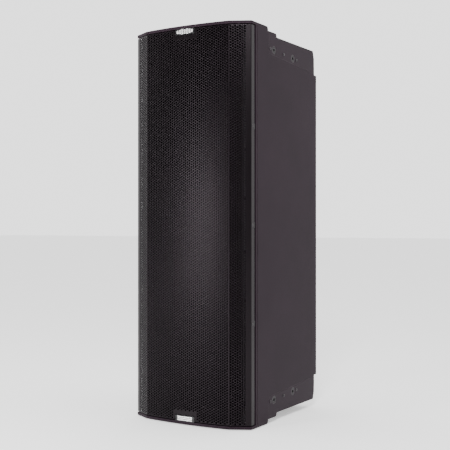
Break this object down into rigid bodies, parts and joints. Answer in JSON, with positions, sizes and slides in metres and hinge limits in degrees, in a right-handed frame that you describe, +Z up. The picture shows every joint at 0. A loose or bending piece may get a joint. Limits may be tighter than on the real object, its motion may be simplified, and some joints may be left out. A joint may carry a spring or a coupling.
{
  "type": "column loudspeaker",
  "caption": "Tall powered column loudspeaker: bent perforated front grille over woofers and a horn, flush end saddles with rigging threads, amplifier and handles at the back.",
  "frame": {"origin": "bottom centre of the bounding box, on the floor", "axes": "+X to the right seen from the front, front faces -Y, +Z up"},
  "size_m": [0.3454, 0.3969, 0.99],
  "materials": {
    "shell_plastic": "fine grained matte moulding",
    "saddle_casting": "fine textured paint",
    "grille_steel": "matte powder coat",
    "foam": "open cell foam, black",
    "badge_black": "satin black",
    "badge_bright": "bright satin",
    "baffle_black": "matte black",
    "black_steel": "black oxide",
    "rubber_black": "matte rubber",
    "cast_frame": "black painted casting",
    "paper": "pressed paper, coated",
    "spider_cloth": "impregnated cloth",
    "coil_copper": "copper wire on a former",
    "motor_steel": "zinc plated",
    "ferrite": "sintered ferrite",
    "driver_plastic": "moulded",
    "titanium": "satin foil",
    "handle_plastic": "matte moulding",
    "panel_aluminium": "black anodised",
    "sheet_steel": "zinc plated sheet",
    "circuit": "green board with components",
    "connector_black": "moulded",
    "control_grey": "soft matte",
    "lens": "clear lens"
  },
  "bodies": {
    "cabinet": {"amp_gasket": "rubber_black", "amp_panel": "panel_aluminium", "amp_tray": "sheet_steel", "back_panel": "shell_plastic", "badge_marks": "badge_bright", "badge_plates": "badge_black", "base_block": "shell_plastic", "bottom_saddle": "saddle_casting", "cabinet_shell": "shell_plastic", "circuit_boards": "circuit", "damping_foam": "foam", "data_sockets": "connector_black", "driver_body": "cast_frame", "driver_phase_plug": "driver_plastic", "driver_rear_cover": "cast_frame", "end_screws": "black_steel", "front_baffle": "baffle_black", "front_screws": "black_steel", "grille": "grille_steel", "grille_foam": "foam", "grille_screws": "black_steel", "heat_sink": "panel_aluminium", "horn_waveguide": "baffle_black", "internal_braces": "baffle_black", "line_input_socket": "connector_black", "line_link_socket": "connector_black", "lower_handle": "handle_plastic", "lower_woofer_basket": "cast_frame", "lower_woofer_spider": "spider_cloth", "lower_woofer_surround": "rubber_black", "mains_sockets": "connector_black", "port_tubes": "baffle_black", "power_switch_bezel": "connector_black", "rear_screws": "black_steel", "rigging_inserts": "black_steel", "rubber_feet": "rubber_black", "socket_screws": "black_steel", "status_leds": "lens", "top_block": "shell_plastic", "top_saddle": "saddle_casting", "upper_handle": "handle_plastic", "upper_woofer_basket": "cast_frame", "upper_woofer_spider": "spider_cloth", "upper_woofer_surround": "rubber_black", "woofer_front_plates": "motor_steel", "woofer_gaskets": "baffle_black", "woofer_magnets": "ferrite", "woofer_pole_pieces": "motor_steel"},
    "upper_cone": {"upper_woofer_cone": "paper", "upper_woofer_dust_cap": "paper", "upper_woofer_voice_coil": "coil_copper"},
    "lower_cone": {"lower_woofer_cone": "paper", "lower_woofer_dust_cap": "paper", "lower_woofer_voice_coil": "coil_copper"},
    "diaphragm": {"driver_diaphragm": "titanium"},
    "level_control": {"level_knob": "control_grey"},
    "coverage_control": {"preset_knob_coverage": "control_grey"},
    "coupling_control": {"preset_knob_coupling": "control_grey"},
    "power_switch": {"power_rocker": "control_grey"},
    "input_latch": {"line_input_latch": "control_grey"}
  },
  "joints": [
    {"name": "upper_cone_travel", "type": "slide", "parent": "cabinet", "child": "upper_cone", "axis": [0, -1, 0], "range_m": [-0.005, 0.005], "stiffness_N_per_m": 3600, "deforming": ["upper_woofer_surround", "upper_woofer_spider"]},
    {"name": "lower_cone_travel", "type": "slide", "parent": "cabinet", "child": "lower_cone", "axis": [0, -1, 0], "range_m": [-0.005, 0.005], "stiffness_N_per_m": 3600, "deforming": ["lower_woofer_surround", "lower_woofer_spider"]},
    {"name": "diaphragm_travel", "type": "slide", "parent": "cabinet", "child": "diaphragm", "axis": [0, -1, 0], "range_m": [-0.0004, 0.0004], "stiffness_N_per_m": 6000},
    {"name": "level_turn", "type": "hinge", "parent": "cabinet", "child": "level_control", "pos_m": [0.082, 0.1745, 0.438], "axis": [0, 1, 0], "range_deg": [-150, 150]},
    {"name": "coverage_turn", "type": "hinge", "parent": "cabinet", "child": "coverage_control", "pos_m": [0.04, 0.1745, 0.438], "axis": [0, 1, 0], "range_deg": [-135, 135]},
    {"name": "coupling_turn", "type": "hinge", "parent": "cabinet", "child": "coupling_control", "pos_m": [-0.002, 0.1745, 0.438], "axis": [0, 1, 0], "range_deg": [-135, 135]},
    {"name": "power_rock", "type": "hinge", "parent": "cabinet", "child": "power_switch", "pos_m": [-0.066, 0.1665, 0.392], "axis": [1, 0, 0], "range_deg": [-12, 12]},
    {"name": "latch_press", "type": "slide", "parent": "cabinet", "child": "input_latch", "axis": [0, -1, 0], "range_m": [0, 0.002], "stiffness_N_per_m": 350}
  ]
}
